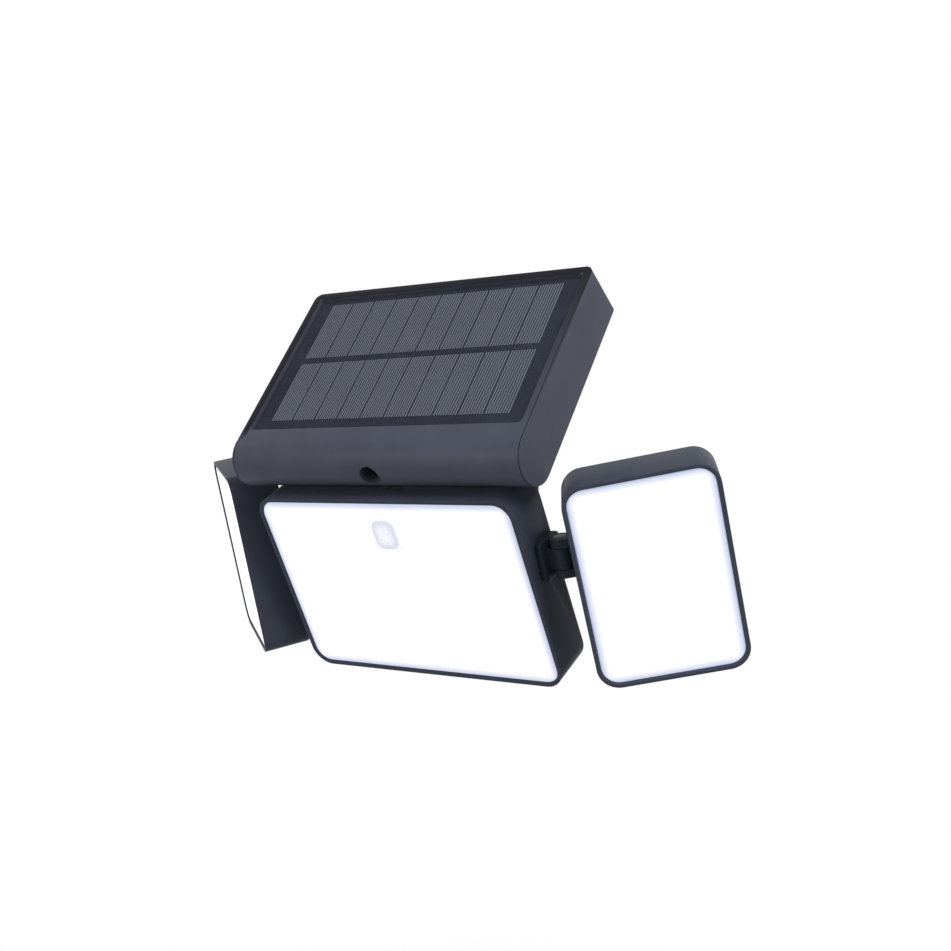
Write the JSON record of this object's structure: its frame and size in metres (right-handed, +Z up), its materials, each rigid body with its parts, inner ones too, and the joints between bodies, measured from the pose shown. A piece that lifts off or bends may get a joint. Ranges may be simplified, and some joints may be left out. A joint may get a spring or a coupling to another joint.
{
  "type": "solar flood light",
  "caption": "Wall-mounted solar flood light: a hinged solar panel above a wide lamp head with a motion sensor, swivelling side heads and a tilting wall bracket.",
  "frame": {"origin": "centre of the wall plate's back face, on the wall", "axes": "+Y into the wall, -Y towards the front of the lamp, +Z up, X along the tilt axis"},
  "size_m": [0.3685, 0.1338, 0.2304],
  "materials": {
    "shell_plastic": "satin moulded anthracite",
    "graphite_plastic": "satin moulded graphite",
    "bracket_steel": "matt powder coat",
    "fastener_steel": "plain zinc",
    "diffuser": "opal, lit",
    "sensor_lens": "opal",
    "seal_rubber": "matt",
    "button_rubber": "matt",
    "lamp_board": "white solder mask",
    "led": "phosphor",
    "circuit_board": "green solder mask",
    "board_part": "matt",
    "cell_sheet": "satin dark navy",
    "solar_cell": "silicon with fine silver lines",
    "cover_clear": "clear, satin",
    "battery_wrap": "shrink sleeve"
  },
  "bodies": {
    "bracket": {"wall_bracket": "bracket_steel", "tilt_bolt": "fastener_steel", "tilt_nut": "fastener_steel", "tilt_washers": "fastener_steel"},
    "main_head": {"main_shell": "shell_plastic", "tilt_lugs": "shell_plastic", "main_diffuser": "diffuser", "main_gasket": "seal_rubber", "main_led_board": "lamp_board", "main_leds": "led", "main_screws": "fastener_steel", "pir_lens": "sensor_lens", "pir_sensor": "fastener_steel", "hinge_neck": "graphite_plastic", "neck_screws": "fastener_steel", "switch_board": "circuit_board"},
    "button": {"mode_button": "button_rubber"},
    "panel": {"panel_housing": "shell_plastic", "panel_base": "shell_plastic", "base_gasket": "seal_rubber", "base_screws": "fastener_steel", "solar_sheet": "cell_sheet", "solar_cells": "solar_cell", "solar_cover": "cover_clear", "battery_cells": "battery_wrap", "battery_holder": "graphite_plastic", "charge_board": "circuit_board", "charge_parts": "board_part", "charge_screws": "fastener_steel", "hinge_bolt": "fastener_steel", "hinge_nut": "fastener_steel", "hinge_washers": "fastener_steel"},
    "right_arm_group": {"right_arm": "graphite_plastic", "right_arm_seal": "seal_rubber", "right_arm_collar": "graphite_plastic"},
    "right_head": {"right_shell": "shell_plastic", "right_ears": "shell_plastic", "right_diffuser": "diffuser", "right_gasket": "seal_rubber", "right_led_board": "lamp_board", "right_leds": "led", "right_screws": "fastener_steel", "right_pin": "fastener_steel"},
    "left_arm_group": {"left_arm": "graphite_plastic", "left_arm_seal": "seal_rubber", "left_arm_collar": "graphite_plastic"},
    "left_head": {"left_shell": "shell_plastic", "left_ears": "shell_plastic", "left_diffuser": "diffuser", "left_gasket": "seal_rubber", "left_led_board": "lamp_board", "left_leds": "led", "left_screws": "fastener_steel", "left_pin": "fastener_steel"}
  },
  "joints": [
    {"name": "body_tilt", "type": "hinge", "parent": "bracket", "child": "main_head", "pos_m": [0, -0.066, 0], "axis": [1, 0, 0], "range_deg": [-15, 20]},
    {"name": "panel_tilt", "type": "hinge", "parent": "main_head", "child": "panel", "pos_m": [0, -0.1181, 0.0451], "axis": [1, 0, 0], "range_deg": [-22, 70]},
    {"name": "mode_button_press", "type": "slide", "parent": "main_head", "child": "button", "axis": [0, -0.4848, 0.8746], "range_m": [0, 0.0015], "stiffness_N_per_m": 600, "springref_m": -0.002},
    {"name": "right_arm_turn", "type": "hinge", "parent": "main_head", "child": "right_arm_group", "pos_m": [0, -0.09053, -0.00731], "axis": [1, 0, 0], "range_deg": [-40, 40]},
    {"name": "right_head_swivel", "type": "hinge", "parent": "right_arm_group", "child": "right_head", "pos_m": [0.0989, -0.09007, -0.00711], "axis": [0, -0.3907, 0.9205], "range_deg": [-29, 26]},
    {"name": "left_arm_turn", "type": "hinge", "parent": "main_head", "child": "left_arm_group", "pos_m": [0, -0.09053, -0.00731], "axis": [1, 0, 0], "range_deg": [-40, 40]},
    {"name": "left_head_swivel", "type": "hinge", "parent": "left_arm_group", "child": "left_head", "pos_m": [-0.0989, -0.09005, -0.00716], "axis": [0, 0.2924, -0.9563], "range_deg": [-38, 17]}
  ]
}
